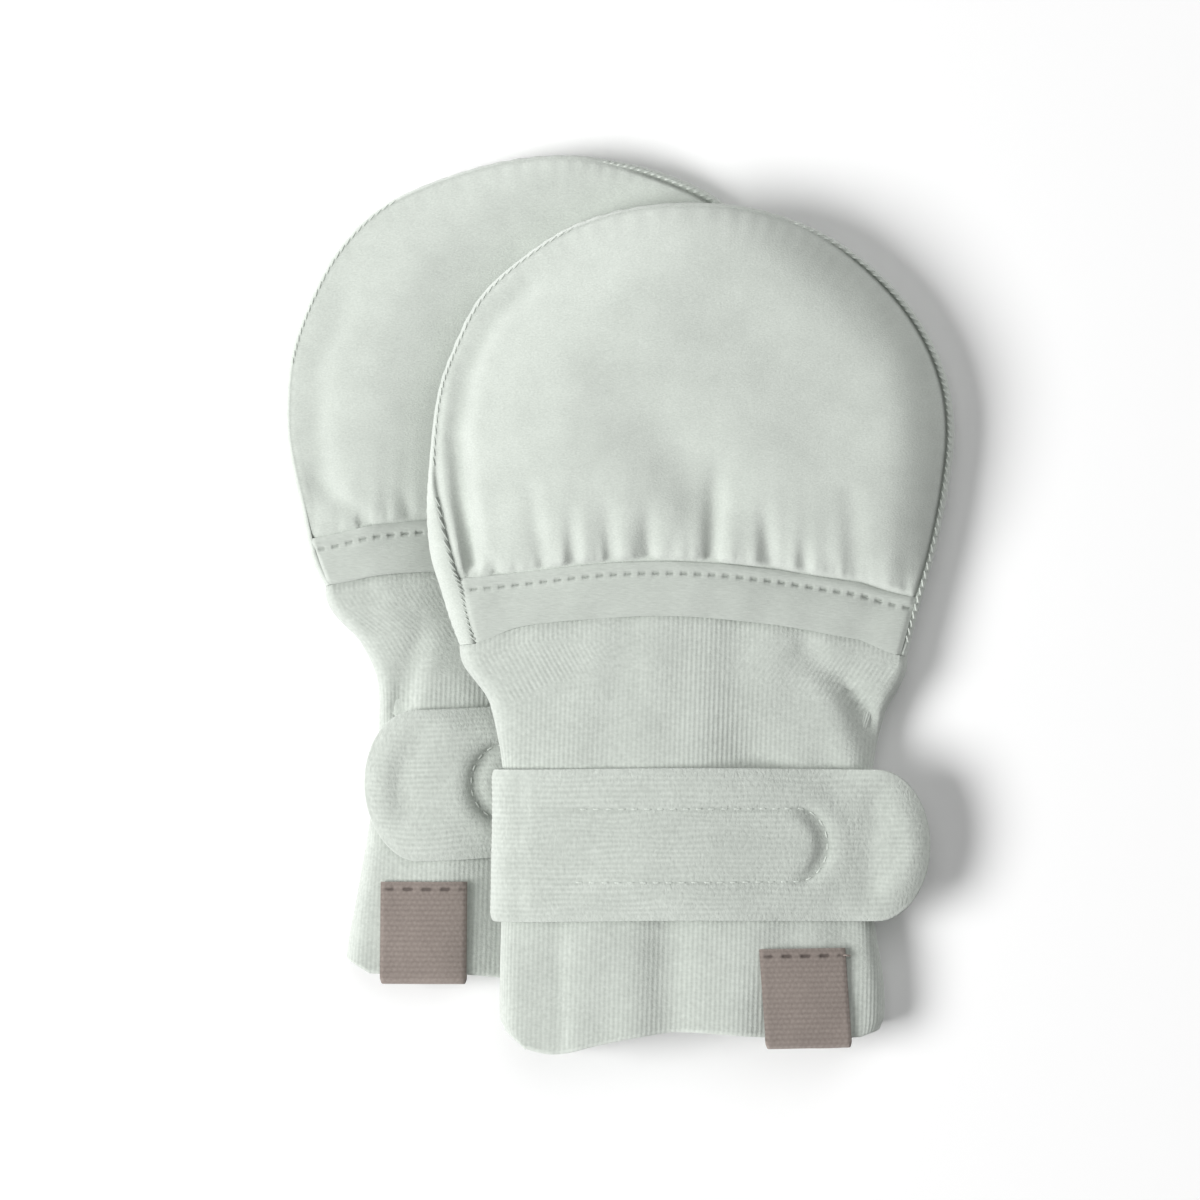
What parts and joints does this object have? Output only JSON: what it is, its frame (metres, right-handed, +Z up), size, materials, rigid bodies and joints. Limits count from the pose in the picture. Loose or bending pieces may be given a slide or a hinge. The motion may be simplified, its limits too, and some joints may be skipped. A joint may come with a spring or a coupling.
{
  "type": "pair of baby mittens",
  "caption": "Pair of soft baby mittens with gathered hand, ribbed cuff, wrap wrist strap and folded hem label, lying flat with one partly on the other.",
  "frame": {"origin": "middle of the underside of the pair's bounding box", "axes": "+Z up from the surface they lie on, +Y towards the fingertips, +X to the side of the front mitten"},
  "size_m": [0.1106, 0.1486, 0.0255],
  "materials": {
    "jersey": "pale sage fine jersey with a soft nap",
    "binding": "pale sage jersey binding, smooth with a diagonal grain",
    "rib": "pale sage fine vertical rib knit",
    "strap_knit": "pale sage soft knit with rows along the strap",
    "hook_tape": "pale woven hook tape",
    "label_tape": "taupe woven tape, bare"
  },
  "bodies": {
    "root": {"rear_back": "jersey", "rear_palm": "jersey", "rear_band": "binding", "rear_cuff": "rib", "rear_patch": "hook_tape", "rear_strap": "strap_knit", "rear_label": "label_tape", "front_back": "jersey", "front_palm": "jersey", "front_band": "binding", "front_cuff": "rib", "front_patch": "hook_tape", "front_strap": "strap_knit", "front_label": "label_tape"}
  },
  "joints": []
}
